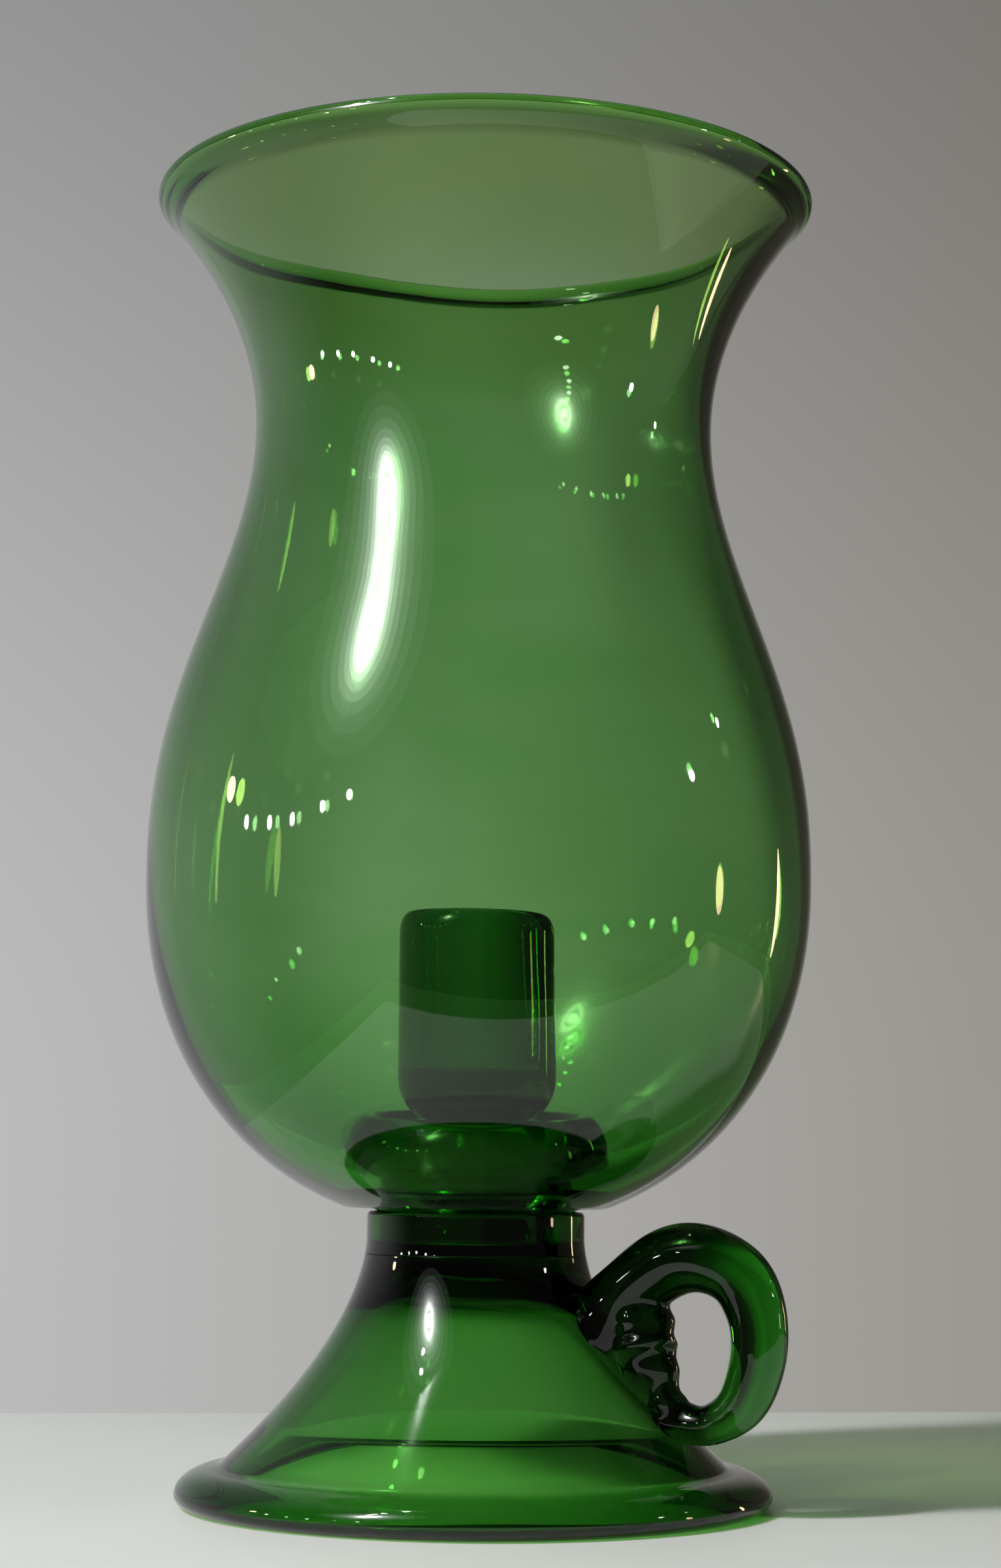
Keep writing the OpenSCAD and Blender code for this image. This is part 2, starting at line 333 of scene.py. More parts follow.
def deep_glass(name, look, strength=1.0, cords=1.0, seeds=1.0, painted_shade=None, tone=None, clear=CLEAR):
    """Green glass with faint smears, and with cords and small seeds that are weighed by a number.

    Painted shade darkens the glass, in patches, from the second of two distances along X down to
    the first. Toned glass takes on a colour from the first of two heights to the second. Clear is
    what each face leaves of the light that makes its shadow.
    """
    material = bpy.data.materials.new(name)
    material.use_nodes = True
    recipe = Recipe(material.node_tree)
    place = recipe.add("ShaderNodeTexCoord", out="Object")
    stretched = recipe.add(
        "ShaderNodeMapping", {},
        {"Vector": place, "Rotation": (0.10, 0.06, 0), "Scale": (1, 1, 3.4)})
    cord = recipe.add(
        "ShaderNodeTexNoise", {},
        {"Vector": stretched, "Scale": 16.0, "Detail": 2.0, "Roughness": 0.40, "Distortion": 0.5})
    ripple = recipe.add("ShaderNodeTexNoise", {}, {"Vector": place, "Scale": 95.0, "Detail": 2.0})
    cell = recipe.add("ShaderNodeTexVoronoi", {"feature": "F1"}, {"Vector": place, "Scale": 120.0})
    seed = recipe.ramp(cell, 0.05, 0.13, 1.0, 0.0)
    smear = recipe.add(
        "ShaderNodeTexNoise", {},
        {"Vector": place, "Scale": 18.0, "Detail": 5.0, "Roughness": 0.62})
    film = recipe.ramp(smear, 0.56, 0.80)
    stain = recipe.add("ShaderNodeValToRGB", {"stops": STAIN}, {"Fac": cord})
    if tone:
        first, second, tint = tone
        height = recipe.add("ShaderNodeSeparateXYZ", {}, {"Vector": place}, out="Z")
        stain = recipe.blend(recipe.ramp(height, first, second), stain, (*tint, 1), "MULTIPLY")
    # Painted shade: glass nearer the axis than the given distances along X is darkened towards near
    # black
    if painted_shade:
        near, far = painted_shade
        reach = recipe.add("ShaderNodeSeparateXYZ", {}, {"Vector": place}, out="X")
        patchy = reach + (ripple - 0.5) * 0.008
        stain = recipe.blend(recipe.ramp(patchy, near, far, 1.0, 0.0), stain, (*PAINTED_SHADE, 1))
    relief = recipe.add(
        "ShaderNodeBump", {},
        {"Strength": 0.10, "Distance": 0.0006,
         "Height": cord * (0.80 * cords) + ripple * (0.05 * cords) + seed * (0.03 * seeds)})
    glass = recipe.add(
        "ShaderNodeBsdfPrincipled", {},
        {"Base Color": stain, "Roughness": film * 0.045 + look.haze, "IOR": look.index,
         "Transmission Weight": 1.0, "Normal": relief})
    passed = recipe.add("ShaderNodeBsdfTransparent", {}, {"Color": (*clear, 1)})
    shadow = recipe.add("ShaderNodeLightPath", out="Is Shadow Ray")
    surface = recipe.add("ShaderNodeMixShader", {}, {0: shadow, 1: glass, 2: passed})
    inside = recipe.add(
        "ShaderNodeVolumeAbsorption", {},
        {"Color": (*look.tint, 1), "Density": look.depth * strength})
    recipe.add("ShaderNodeOutputMaterial", {}, {"Surface": surface, "Volume": inside})
    return material


def arc(centre, size, start, end, count):
    """Points on an ellipse about a centre, between two angles in degrees."""
    return [
        (centre[0] + size[0] * math.cos(a), centre[1] + size[1] * math.sin(a))
        for a in (math.radians(start + (end - start) * i / count) for i in range(count + 1))
    ]


def eased(outline, radius, count=5):
    """An outline with each corner sharper than 20 degrees rounded off."""
    soft = [outline[0]]
    for before, here, after in zip(outline, outline[1:], outline[2:]):
        here, into, away = Vector(here), Vector(here) - Vector(before), Vector(after) - Vector(here)
        if into.length < 1e-7 or away.length < 1e-7:
            continue
        if into.angle(away) < math.radians(20):
            soft.append(tuple(here))
            continue
        reach = min(radius, into.length * 0.45, away.length * 0.45)
        a, b = here - into.normalized() * reach, here + away.normalized() * reach
        for i in range(count + 1):
            t = i / count
            soft.append(tuple(a * (1 - t) ** 2 + here * (2 * t * (1 - t)) + b * t ** 2))
    return soft + [outline[-1]]


def stray(angle, height, phase):
    """A slow, smooth wander between about -1 and 1 over a blown wall."""
    h = height * 10
    return (
        0.50 * math.sin(2 * angle + 2.1 * h + phase)
        + 0.30 * math.sin(3 * angle - 3.7 * h + 1.7 * phase)
        + 0.20 * math.sin(5 * angle + 6.3 * h - 2.3 * phase)
    )


def smooth(value, low, high):
    """0 below low, 1 above high and a smooth rise between."""
    t = max(0.0, min(1.0, (value - low) / (high - low)))
    return t * t * (3 - 2 * t)


def walled(angle, height, depth, outer, inner):
    """The wander at a depth through a wall, 0 at its outer and 1 at its inner face.

    Each face has its own phase.
    """
    depth = smooth(depth, 0.0, 1.0)
    return stray(angle, height, outer) * (1 - depth) + stray(angle, height, inner) * depth


def turned(name, outline, sides, closed=False, wander=None):
    """A body turned about the middle line.

    A closed outline is a ring, and an open one starts and ends on the axis. Wander gives how far a
    point strays outwards and upwards.
    """
    verts, faces, rows = [], [], []
    for r, z in outline:
        if r < 1e-6:
            rows.append([len(verts)])
            verts.append((0, 0, z))
            continue
        rows.append(list(range(len(verts), len(verts) + sides)))
        for j in range(sides):
            angle = 2 * math.pi * j / sides
            out, up = wander(angle, r, z) if wander else (0.0, 0.0)
            verts.append(((r + out) * math.cos(angle), (r + out) * math.sin(angle), z + up))
    for low, high in zip(rows, rows[1:] + (rows[:1] if closed else [])):
        for j in range(sides):
            m = (j + 1) % sides
            if len(low) == 1:
                faces.append((low[0], high[m], high[j]))
            elif len(high) == 1:
                faces.append((low[j], low[m], high[0]))
            else:
                faces.append((low[j], low[m], high[m], high[j]))
    mesh = bpy.data.meshes.new(name)
    mesh.from_pydata(verts, [], faces)
    return smooth_piece(name, mesh)


def smooth_piece(name, mesh):
    """A linked object with smooth faces that keeps edges over 50 degrees crisp."""
    mesh.validate()
    mesh.shade_smooth()
    mesh.set_sharp_from_angle(angle=math.radians(50))
    piece = bpy.data.objects.new(name, mesh)
    bpy.context.scene.collection.objects.link(piece)
    return piece


def settle(piece, material, body, node):
    """Gives a piece its glass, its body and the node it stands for."""
    piece.data.materials.append(material)
    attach(piece, body)
    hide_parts(node)


def flare_radius(scene, z):
    """Half width of the bell's flare at height z, carried on down behind the rim."""
    foot, collar = scene.candlestick_foot, scene.candlestick_collar
    top = collar.lip - collar.straight
    low = foot.radius - foot.fold_width
    t = (top - min(z, top)) / (top - foot.fold_height)
    return collar.radius + (low - collar.radius) * t ** foot.spread


def flank_radius(scene, z):
    """Half width of the bell's and the collar's outside at height z."""
    return flare_radius(scene, max(z, scene.candlestick_foot.fold_height))


def collar_floor(scene):
    """Height of the collar's floor, on which the cup and the shade stand."""
    return scene.candlestick_foot.height + scene.candlestick_collar.floor


def steps(low, high, count):
    """Evenly spaced numbers from low to high."""
    return [low + (high - low) * i / count for i in range(count + 1)]


class CANDLESTICK_OT_bell_foot(Operator):
    """Blow the hollow bell with its folded rim"""

    bl_idname = "candlestick.bell_foot"
    bl_label = "Bell foot"

    def execute(self, context):
        scene = context.scene
        foot, collar = scene.candlestick_foot, scene.candlestick_collar
        look = scene.candlestick_glass
        top = foot.height - foot.crown
        root = foot.radius - foot.fold_width
        hollow = []
        for t in steps(0.0, 1.0, 90):
            z = foot.sole + (top - foot.sole) * (1 - t ** 2)
            wall = foot.wall + foot.heel * max(0.0, 1 - z / foot.heel_height)
            dome = math.sqrt(max(0.0, 1 - (z / top) ** foot.dome))
            hollow.append(((flare_radius(scene, z) - wall) * dome, z))
        hollow.append((hollow[-1][0], 0.0))
        under = foot.fold_width * 0.46
        fold = arc((foot.radius - under, foot.fold_edge), (under, foot.fold_edge), -90, 0, 16)
        over = foot.fold_height - foot.fold_edge
        fold += arc((root, foot.fold_edge), (foot.fold_width, over), 4, 82, 22)
        heights = steps(foot.fold_height + 0.0004, foot.height - HAIRLINE, 80)
        flank = [(flank_radius(scene, z), z) for z in heights]
        outline = eased(hollow + fold[:1], 0.00025)[:-1]
        outline += eased(fold + flank + [(0.0, foot.height - HAIRLINE)], 0.0012)

        def wander(angle, r, z):
            depth = (flank_radius(scene, z) - r) / foot.wall
            fade = max(0.0, 1 - z / foot.height) * min(1.0, z * 200)
            inward = min(1.0, r / collar.radius) if depth > 0.5 and z <= top else 0.0
            # The top of the hollow sinks on the loop's side and strays a little all round
            lean = 0.45 * stray(angle, r, 1.3) - 0.35 - 0.65 * math.cos(angle - 0.6)
            out = 0.6 * look.sway * fade * walled(angle, z, depth, 2.9, 0.4)
            return out, foot.waver * inward * (z / top) ** 8 * lean

        piece = turned("bell_foot_glass", outline, look.sides, wander=wander)
        rim = (foot.fold_height + 0.0006, foot.fold_height - 0.0012, RIM_TONE)
        glass = deep_glass(
            "foot_glass", look, strength=1.06, cords=1.2, tone=rim, clear=CLEAR_FOOT)
        settle(piece, glass, "base", "bell_foot")
        return {"FINISHED"}


class CANDLESTICK_OT_collar(Operator):
    """Open out the collar that the shade stands in"""

    bl_idname = "candlestick.collar"
    bl_label = "Collar"

    def execute(self, context):
        scene = context.scene
        foot, collar = scene.candlestick_foot, scene.candlestick_collar
        look = scene.candlestick_glass
        half = collar.wall / 2
        low = foot.height + HAIRLINE
        heights = steps(low, collar.lip - collar.straight, 18)
        outside = [(flank_radius(scene, z), z) for z in heights]
        lip = arc((collar.radius - half, collar.lip - half), (half, half), 0, 180, 14)
        floor = collar_floor(scene)
        inside = [(collar.radius - collar.wall, floor), (0.0, floor)]
        outline = eased([(0.0, low)] + outside + lip + inside, 0.0006)
        piece = turned("collar_glass", outline, look.sides)
        glass = deep_glass("collar_glass", look, strength=3.0, seeds=0.6)
        settle(piece, glass, "base", "collar")
        return {"FINISHED"}


class CANDLESTICK_OT_candle_cup(Operator):
    """Shape the candle cup and its stem"""

    bl_idname = "candlestick.candle_cup"
    bl_label = "Candle cup"

    def execute(self, context):
        scene = context.scene
        cup, look = scene.candlestick_cup, scene.candlestick_glass
        low = collar_floor(scene) + HAIRLINE
        bottom = cup.top - cup.depth
        # The plug is a little slimmer than the cup, and the bore's floor has a rounded corner
        spread = cup.radius - 0.0004
        corner = 0.002
        wall = cup.radius - cup.bore
        stem_foot = low + cup.plug + cup.narrow
        mouth = cup.bore + cup.edge
        outline = [(0.0, low), (spread, low)]
        outline += [(spread, z) for z in steps(low + 0.001, low + cup.plug - 0.001, 10)]
        outline += arc((spread, stem_foot), (spread - cup.stem, cup.narrow), 270, 180, 18)
        outline += arc((cup.stem, bottom), (cup.radius - cup.stem, cup.underside), 270, 360, 24)
        outline += [(cup.radius, z) for z in steps(bottom + 0.001, cup.top - cup.lip - 0.001, 26)]
        outline += arc((mouth, cup.top - cup.lip), (wall - cup.edge, cup.lip), 0, 90, 18)
        outline += arc((mouth, cup.top - cup.edge), (cup.edge, cup.edge), 100, 180, 6)
        outline += [(cup.bore, z) for z in steps(cup.top - cup.edge - 0.001, bottom + corner, 26)]
        outline += arc((cup.bore - corner, bottom + corner), (corner, corner), 0, -90, 8)
        outline += [(0.0, bottom)]

        def wander(angle, r, z):
            rise = max(0.0, min(1.0, (z - bottom - 0.004) / 0.012))
            return 0.00018 * rise * walled(angle, z * 2, (cup.radius - r) / wall, 1.1, 3.6), 0.0

        piece = turned("candle_cup_glass", eased(outline, 0.0006), look.sides, wander=wander)
        glass = deep_glass("cup_glass", look, strength=2.1, cords=1.1)
        settle(piece, glass, "base", "candle_cup")
        return {"FINISHED"}


def along(values, t):
    """A smooth curve through a list of points or numbers, at share t of its length."""
    u = t * (len(values) - 1)
    i = min(int(u), len(values) - 2)
    u -= i
    a, b = values[max(i - 1, 0)], values[i]
    c, d = values[i + 1], values[min(i + 2, len(values) - 1)]
    return b + 0.5 * u * ((c - a) + u * ((2 * a - 5 * b + 4 * c - d) + u * (3 * (b - c) + d - a)))


def rod(verts, faces, path, sizes, rings, sides, crimp=0.0):
    """Adds a round rod of changing thickness along a path in the XZ plane.

    A crimp leaves pinched lumps on it.
    """
    first = len(verts)
    for j in range(rings + 1):
        t = j / rings
        centre = along(path, t)
        way = (along(path, min(t + 0.004, 1)) - along(path, max(t - 0.004, 0))).normalized()
        side = Vector((-way.y, way.x))
        size = along(sizes, t) / 2
        for k in range(sides):
            w = 2 * math.pi * k / sides
            lump = 0.6 * math.sin(31 * t + 1.3 * math.sin(w)) + 0.4 * math.sin(17 * t + 2 * w)
            r = size * (1 + crimp * lump * math.sin(math.pi * t))
            p = centre + side * (r * math.cos(w))
            verts.append((p.x, r * math.sin(w), p.y))
    for j in range(rings):
        for k in range(sides):
            m = (k + 1) % sides
            a, b = first + j * sides, first + (j + 1) * sides
            faces.append((a + k, a + m, b + m, b + k))
    faces.append(tuple(first + k for k in reversed(range(sides))))
    faces.append(tuple(first + rings * sides + k for k in range(sides)))


class CANDLESTICK_OT_finger_loop(Operator):
    """Trail the finger loop from the flank and lay its tail back up to the root"""

    bl_idname = "candlestick.finger_loop"
    bl_label = "Finger loop"

    def execute(self, context):
        scene = context.scene
        loop, look = scene.candlestick_loop, scene.candlestick_glass
        limb = loop.reach - loop.limb / 2
        top = loop.top - loop.crest / 2
        low = loop.low + loop.under / 2
        root = scene.candlestick_foot.height - loop.root / 2 - 0.006
        mid = (top + low) / 2
        at_root, at_low = flank_radius(scene, root), flank_radius(scene, low)
        root_span, low_span = limb - at_root, limb - at_low
        # From the root up over the crest, down the outer limb and back along the underside
        path = [Vector(p) for p in (
            (at_root - loop.bite, root - loop.bite * 0.8),
            (at_root + root_span * 0.12, root + 0.0049),
            (limb - root_span * 0.59, top - 0.0012),
            (limb - root_span * 0.353, top),
            (limb - root_span * 0.128, top - 0.003),
            (limb - 0.0004, mid + 0.005),
            (limb - 0.0002, mid - 0.0025),
            (limb - low_span * 0.17, low + 0.0042),
            (limb - low_span * 0.483, low + 0.0003),
            (limb - low_span * 0.8, low),
            (at_low - loop.bite, low + 0.0006),
        )]
        sizes = [loop.root * 1.15, loop.root * 0.95, (loop.root + loop.crest) / 2, loop.crest]
        sizes += [(loop.crest + loop.limb) / 2] + [loop.limb * s for s in (1.0, 0.95, 0.84)]
        sizes += [loop.under * s for s in (1.06, 1.0, 1.1)]
        # The tail leaves the underside and climbs the flank, ever further out by its own thickness
        tail = [Vector((limb - low_span * 0.56, low + 0.0004))]
        tail.append(Vector((flank_radius(scene, low + 0.0016) + low_span * 0.2, low + 0.0016)))
        for rise, off in ((0.0058, 0.34), (0.0116, 0.50), (0.016, 0.66), (0.020, 0.77)):
            tail.append(Vector((flank_radius(scene, low + rise) + loop.tail * off, low + rise)))
        tail_sizes = [loop.under * 0.7, loop.under]
        tail_sizes += [loop.tail * s for s in (0.7, 1.0, 1.06, 0.98)]
        verts, faces = [], []
        rod(verts, faces, path, sizes, 120, 40, crimp=0.02)
        rod(verts, faces, tail, tail_sizes, 60, 40, crimp=0.12)
        raw = bpy.data.meshes.new("finger_loop_rods")
        raw.from_pydata(verts, [], faces)
        melted = melt(raw, grain=0.00042, passes=14)
        # What reaches under the flank is pushed out to lie on it
        for v in melted.vertices:
            reach = math.hypot(v.co.x, v.co.y)
            least = flank_radius(scene, v.co.z) + HAIRLINE
            if reach < least:
                v.co.x *= least / reach
                v.co.y *= least / reach
        piece = smooth_piece("finger_loop_glass", melted)
        # The loop's tail and root next to the flank get painted shade, darkened towards near black
        glass = deep_glass(
            "loop_glass", look, strength=1.2, cords=1.3, seeds=1.5, painted_shade=(0.043, 0.051))
        settle(piece, glass, "base", "handle")
        return {"FINISHED"}


def melt(mesh, grain, passes):
    """Runs overlapping rods together into one smooth body, as hot glass does."""
    holder = bpy.data.objects.new(mesh.name, mesh)
    bpy.context.scene.collection.objects.link(holder)
    fuse = holder.modifiers.new("fuse", "REMESH")
    fuse.mode = "VOXEL"
    fuse.voxel_size = grain
    flow = holder.modifiers.new("flow", "SMOOTH")
    flow.factor = 0.5
    flow.iterations = passes
    graph = bpy.context.evaluated_depsgraph_get()
    done = bpy.data.meshes.new_from_object(holder.evaluated_get(graph))
    bpy.data.objects.remove(holder)
    bpy.data.meshes.remove(mesh)
    return done


class CANDLESTICK_OT_hurricane_shade(Operator):
    """Blow the shade: neck, thick ring, bowl, shoulder, waist and flared lip"""

    bl_idname = "candlestick.hurricane_shade"
    bl_label = "Hurricane shade"

    def execute(self, context):
        scene = context.scene
        shade, collar = scene.candlestick_shade, scene.candlestick_collar
        look = scene.candlestick_glass
        low = collar_floor(scene) + HAIRLINE
        bowl_z = collar.lip + shade.clear
        bowl_r = collar.radius + shade.flat
        half = shade.lip / 2
        end = shade.top - half
        power = shade.bowl_power
        depth = (shade.belly_height - bowl_z) / (1 - (bowl_r / shade.belly) ** power) ** (1 / power)
        neck_in = shade.neck - shade.neck_wall

        def bowl(across, down, turn):
            drop = down * math.sin(turn) ** (2 / power)
            return across * math.cos(turn) ** (2 / power), shade.belly_height - drop

        def upper(z):
            if z < shade.waist_height:
                t = max(0.0, (z - shade.belly_height) / (shade.waist_height - shade.belly_height))
                fall = (1 + math.cos(math.pi * t ** shade.shoulder_power)) / 2
                return shade.waist + (shade.belly - shade.waist) * fall
            t = (z - shade.waist_height) / (end - shade.waist_height)
            return shade.waist + (shade.rim - shade.waist) * t ** shade.flare_power

        def level_wall(z):
            step = 0.0005
            return shade.wall * math.hypot(1, (upper(z) - upper(z - step)) / step)

        rounding, edge = 0.0016, 0.0006
        wide = math.acos((bowl_r / shade.belly) ** (power / 2))
        inner = shade.belly - shade.wall
        narrow = math.acos(((shade.ring + rounding) / inner) ** (power / 2))
        # The lip is a round bead that swells out of the wall over its last few millimetres
        start, stop = math.radians(-35), math.radians(145)
        bead_low, bead_high = end + half * math.sin(start), end + half * math.sin(stop)
        swell = shade.rim - half * (1 - math.cos(start)) - upper(bead_low)
        fill = upper(bead_high) - shade.rim + half * (1 - math.cos(stop))
        swell_z, close_z = end - 0.0035, end - 0.005
        heights = steps(shade.belly_height, close_z, 100)[1:]
        heights += steps(close_z, bead_low, 16)[1:]
        outside = [bowl(shade.belly, depth, wide * (1 - i / 60)) for i in range(61)]
        outside += [(upper(z) + swell * smooth(z, swell_z, heights[-1]), z) for z in heights]
        lip = arc((shade.rim - half, end), (half, half), -30, 140, 24)
        inside = []
        for z in [bead_high] + heights[::-1]:
            gain = smooth(z, swell_z, bead_high)
            inside.append((upper(z) - level_wall(z) * (1 - gain) - fill * gain, z))
        inside += [bowl(inner, depth - shade.floor, narrow * i / 60) for i in range(61)]
        ring_z = bowl_z + shade.floor + 0.0005
        ring_middle = ((shade.ring + neck_in) / 2, ring_z)
        ring = arc(ring_middle, ((shade.ring - neck_in) / 2, shade.ring_height), 0, 180, 40)
        neck = [(neck_in, low + edge), (neck_in + edge, low), (shade.neck - edge, low)]
        neck += [(shade.neck, low + edge), (shade.neck, bowl_z - 0.0002)]
        outline = eased(neck + outside + lip + inside + ring + neck[:1], rounding)[:-1]

        def wander(angle, r, z):
            rise = max(0.0, min(1.0, (z - ring_z - 0.004) / 0.03))
            if z < shade.belly_height:
                drop = min(1.0, (shade.belly_height - z) / depth)
                face = shade.belly * (1 - drop ** power) ** (1 / power)
            else:
                face = upper(min(z, end))
            tip = LIP_BALANCE + 0.5 * math.cos(angle - LIP_HIGH_SIDE)
            up = shade.lift * tip * smooth(z, shade.belly_height, end)
            return look.sway * rise * walled(angle, z, (face - r) / shade.wall, 0.9, 2.4), up

        piece = turned("hurricane_shade_glass", outline, look.sides, closed=True, wander=wander)
        glass = deep_glass("shade_glass", look, strength=0.86, tone=(0.204, 0.232, LIP_TONE))
        settle(piece, glass, "shade", "hurricane_shade")
        return {"FINISHED"}


def panel_lamp(name, turn, rise, distance, size, power, tint=WHITE, seen=True, lights=True):
    """A soft lamp that faces the candlestick from a turn away from -Y and a rise above the table.

    It may be unseen in the glass, and it may be seen there and light nothing else.
    """
    lamp = bpy.data.lights.new(name, "AREA")
    lamp.shape = "ELLIPSE"
    lamp.size, lamp.size_y = size
    lamp.energy = power
    lamp.color = tint
    level = math.cos(rise)
    away = Vector((math.sin(turn) * level, -math.cos(turn) * level, math.sin(rise)))
    holder = bpy.data.objects.new(name, lamp)
    holder.location = Vector((0, 0, LAMP_AIM)) + away * distance
    holder.rotation_euler = away.to_track_quat("Z", "Y").to_euler()
    holder.visible_glossy = holder.visible_transmission = seen
    holder.visible_diffuse = lights
    bpy.context.scene.collection.objects.link(holder)


def table_top(look):
    """A pale painted table slab with eased edges."""
    turn = look.azimuth + look.table_turn
    thick, rounding = 0.028, 0.004
    shape = bmesh.new()
    bmesh.ops.create_cube(shape, size=1.0)
    wide, deep = look.table_left + look.table_right, look.table_front + look.table_back
    bmesh.ops.scale(shape, vec=(wide, deep, thick), verts=shape.verts)
    sideways, backwards = look.table_right - look.table_left, look.table_back - look.table_front
    shift = (sideways / 2, backwards / 2, -thick / 2)
    bmesh.ops.translate(shape, vec=shift, verts=shape.verts)
    bmesh.ops.bevel(
        shape, geom=shape.edges[:], offset=rounding, segments=5, profile=0.5, affect="EDGES")
    bmesh.ops.rotate(shape, cent=(0, 0, 0), matrix=Matrix.Rotation(turn, 3, "Z"), verts=shape.verts)
    mesh = bpy.data.meshes.new("table_top")
    shape.to_mesh(mesh)
    shape.free()
    mesh.shade_smooth()
    mesh.set_sharp_from_angle(angle=math.radians(30))
    table = bpy.data.objects.new("table_top", mesh)
    bpy.context.scene.collection.objects.link(table)
    material = bpy.data.materials.new("table_paint")
    material.use_nodes = True
    recipe = Recipe(material.node_tree)
    place = recipe.add("ShaderNodeTexCoord", out="Object")
    cloud = recipe.add("ShaderNodeTexNoise", {}, {"Vector": place, "Scale": 5.0, "Detail": 5.0})
    grain = recipe.add("ShaderNodeTexNoise", {}, {"Vector": place, "Scale": 900.0, "Detail": 1.0})
    pale = tuple(min(1.0, c * 1.03) for c in look.table) + (1,)
    dull = tuple(c * 0.95 for c in look.table) + (1,)
    stops = ((0.35, dull), (0.65, pale))
    paint = recipe.add("ShaderNodeValToRGB", {"stops": stops}, {"Fac": cloud})
    tooth = recipe.add(
        "ShaderNodeBump", {}, {"Strength": 0.15, "Distance": 0.0002, "Height": grain})
    coat = recipe.add(
        "ShaderNodeBsdfPrincipled", {},
        {"Base Color": paint, "Roughness": cloud * 0.2 + 0.32, "Normal": tooth})
    recipe.add("ShaderNodeOutputMaterial", {}, {"Surface": coat})
    mesh.materials.append(material)


def room_light(look):
    """A plain room, pale ahead and to the left, dimmer to the right, above and behind the camera.

    The camera itself sees the pale wall on every side, and the glass shows some of it.
    """
    world = bpy.data.worlds.new("room")
    bpy.context.scene.world = world
    world.use_nodes = True
    recipe = Recipe(world.node_tree)
    way = recipe.add("ShaderNodeTexCoord", out="Generated")
    ahead = (-math.sin(look.azimuth), math.cos(look.azimuth), 0.0)
    right = (math.cos(look.azimuth), math.sin(look.azimuth), 0.0)
    behind, left = tuple(-a for a in ahead), tuple(-r for r in right)

    def ramp(direction, low, high, kind="SMOOTHSTEP"):
        """Rises from 0 to 1 while the view turns towards a direction."""
        towards = recipe.add(
            "ShaderNodeVectorMath", {"operation": "DOT_PRODUCT"}, {0: way, 1: direction},
            out="Value")
        return recipe.ramp(towards, low, high, kind=kind)

    faded = tuple(s * c for s, c in zip(WALL_FADE, look.wall_pale))
    across = recipe.blend(ramp(right, -0.17, 0.17, "LINEAR"), (*look.wall_pale, 1), (*faded, 1))
    side = recipe.blend(ramp(right, 0.15, 0.42), across, (*look.wall_dim, 1))
    room = recipe.blend(ramp(ahead, -0.35, 0.45), (*look.wall_dark, 1), side)
    seen = recipe.add("ShaderNodeLightPath", out="Is Camera Ray")
    through = recipe.add("ShaderNodeLightPath", out="Is Transmission Ray")
    far = ramp(behind, 0.1, 0.6) + ramp(right, 0.75, 0.92)
    shown = recipe.blend(seen + 0.45 * through * far, room, across)
    fall = 1.03 - 0.50 * ramp((0.0, 0.0, 1.0), 0.0, 0.52)
    # Through the glass the wall is dimmer at both sides of the middle, and most on the right
    dimming = 0.08 - 0.32 * ramp(left, 0.02, 0.11) - 0.24 * ramp(right, 0.02, 0.11)
    dusk = 0.60 * ramp(right, 0.12, 0.24)
    strength = fall * (1.0 + through * (dimming - dusk))
    back = recipe.add("ShaderNodeBackground", {}, {"Color": shown, "Strength": strength})
    recipe.add("ShaderNodeOutputWorld", {}, {"Surface": back})


def photo_camera(look):
    """The camera at the photograph's height, distance and tilt."""
    camera = bpy.data.cameras.new("photo_camera")
    camera.sensor_width = 36.0
    camera.lens = look.lens
    camera.clip_start, camera.clip_end = 0.01, 50
    holder = bpy.data.objects.new("photo_camera", camera)
    turned_round = Matrix.Rotation(look.azimuth - look.yaw, 4, "Z")
    tilted = Matrix.Rotation(math.pi / 2 + look.pitch, 4, "X")
    leaned = Matrix.Rotation(look.roll, 4, "Z")
    stand = Vector((math.sin(look.azimuth), -math.cos(look.azimuth), 0)) * look.distance
    stand.z = look.height
    holder.matrix_world = Matrix.Translation(stand) @ turned_round @ tilted @ leaned
    bpy.context.scene.collection.objects.link(holder)
    bpy.context.scene.camera = holder


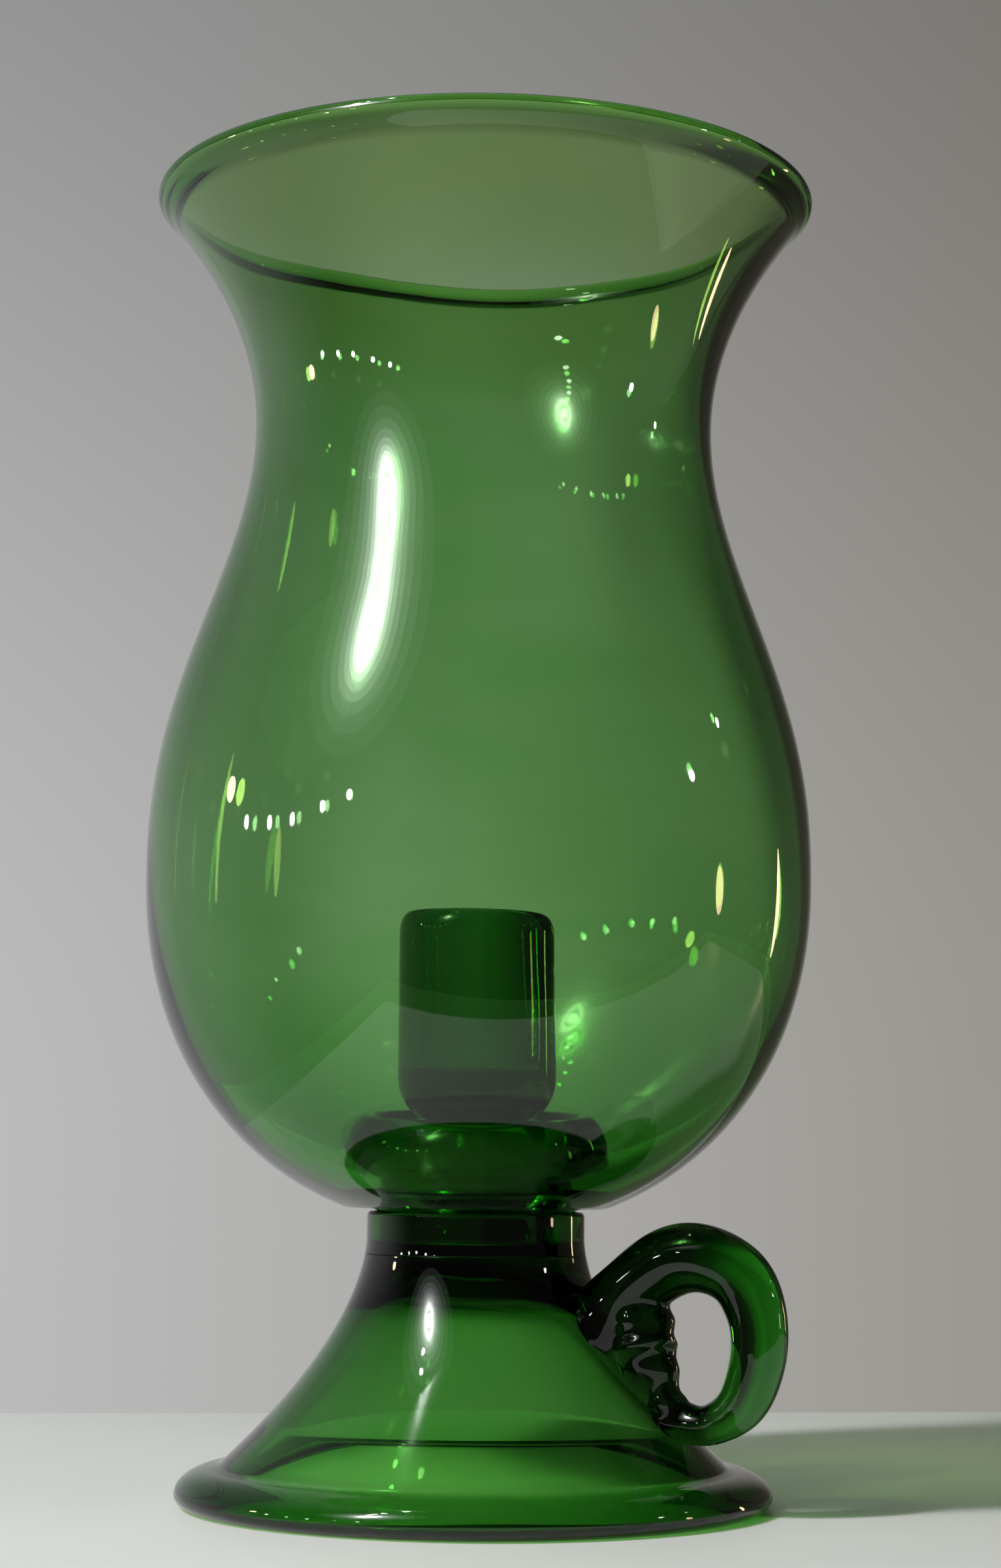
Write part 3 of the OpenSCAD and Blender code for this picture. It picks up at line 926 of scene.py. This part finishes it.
class CANDLESTICK_OT_stage(Operator):
    """Set the table, the room, the lamps and the camera"""

    bl_idname = "candlestick.stage"
    bl_label = "Stage"

    def execute(self, context):
        look = context.scene.candlestick_stage
        table_top(look)
        room_light(look)
        photo_camera(look)
        left, high = look.azimuth - look.lamp_turn, look.lamp_rise
        # One lamp lights the table unseen; the highlight is a core and panels that fade outwards
        panel_lamp(
            "table_lamp", left, high, LAMP_DISTANCE, (0.10, 0.18), look.lamp_power, seen=False)
        panel_lamp("core_lamp", left, high, CORE_DISTANCE, (0.09, 0.11), CORE_POWER)
        for k in range(GLOW_COUNT):
            wide = GLOW_WIDTH * GLOW_GROWTH ** k
            tall = GLOW_HEIGHT + GLOW_STRETCH * wide
            # An ellipse's power for its brightness
            power = GLOW_BRIGHTNESS * GLOW_FADE ** k * math.pi ** 2 / 4 * wide * tall
            distance = LAMP_DISTANCE + GLOW_GAP * k
            panel_lamp(f"glow_lamp_{k}", left, high, distance, (wide, tall), power)
        for k, (turn, rise, wide, power, tint) in enumerate(SMALL_LIGHTS):
            way, up = look.azimuth + math.radians(turn), math.radians(rise)
            size = (wide, wide)
            panel_lamp(
                f"small_lamp_{k}", way, up, SMALL_DISTANCE, size, power, tint, lights=False)
        for k, (turn, wide, tall, power) in enumerate(FAR_LIGHTS):
            way, size = look.azimuth + math.radians(turn), (wide, tall)
            panel_lamp(f"far_lamp_{k}", way, 0.0, LAMP_DISTANCE, size, power, WARM, lights=False)
        context.scene.view_settings.view_transform = "Standard"
        return {"FINISHED"}


class CANDLESTICK_PT_pieces(Panel):
    """Lists the candlestick's pieces and their sizes."""

    bl_idname = "CANDLESTICK_PT_pieces"
    bl_label = "Hurricane candlestick"
    bl_space_type = "VIEW_3D"
    bl_region_type = "UI"
    bl_category = "Candlestick"

    def draw(self, context):
        for step in MAKING:
            self.layout.operator(f"candlestick.{step}")
        for name in GROUPS:
            group = getattr(context.scene, name)
            box = self.layout.box()
            for key in group.__annotations__:
                box.prop(group, key)


MAKING = ("bell_foot", "collar", "candle_cup", "finger_loop", "hurricane_shade", "stage")
GROUPS = {
    "candlestick_foot": FootSizes,
    "candlestick_collar": CollarSizes,
    "candlestick_cup": CupSizes,
    "candlestick_loop": LoopSizes,
    "candlestick_shade": ShadeSizes,
    "candlestick_glass": GlassLook,
    "candlestick_stage": StageLook,
}
CLASSES = (
    CANDLESTICK_OT_bell_foot,
    CANDLESTICK_OT_collar,
    CANDLESTICK_OT_candle_cup,
    CANDLESTICK_OT_finger_loop,
    CANDLESTICK_OT_hurricane_shade,
    CANDLESTICK_OT_stage,
    CANDLESTICK_PT_pieces,
)


def register():
    """Registers the groups on the scene, the operators and the panel."""
    for name, group in GROUPS.items():
        bpy.utils.register_class(group)
        setattr(bpy.types.Scene, name, PointerProperty(type=group))
    for cls in CLASSES:
        bpy.utils.register_class(cls)


def unregister():
    """Takes away what register made."""
    for cls in reversed(CLASSES):
        bpy.utils.unregister_class(cls)
    for name, group in GROUPS.items():
        delattr(bpy.types.Scene, name)
        bpy.utils.unregister_class(group)


def main():
    register()
    for step in MAKING:
        getattr(bpy.ops.candlestick, step)()


if __name__ == "__main__":
    main()
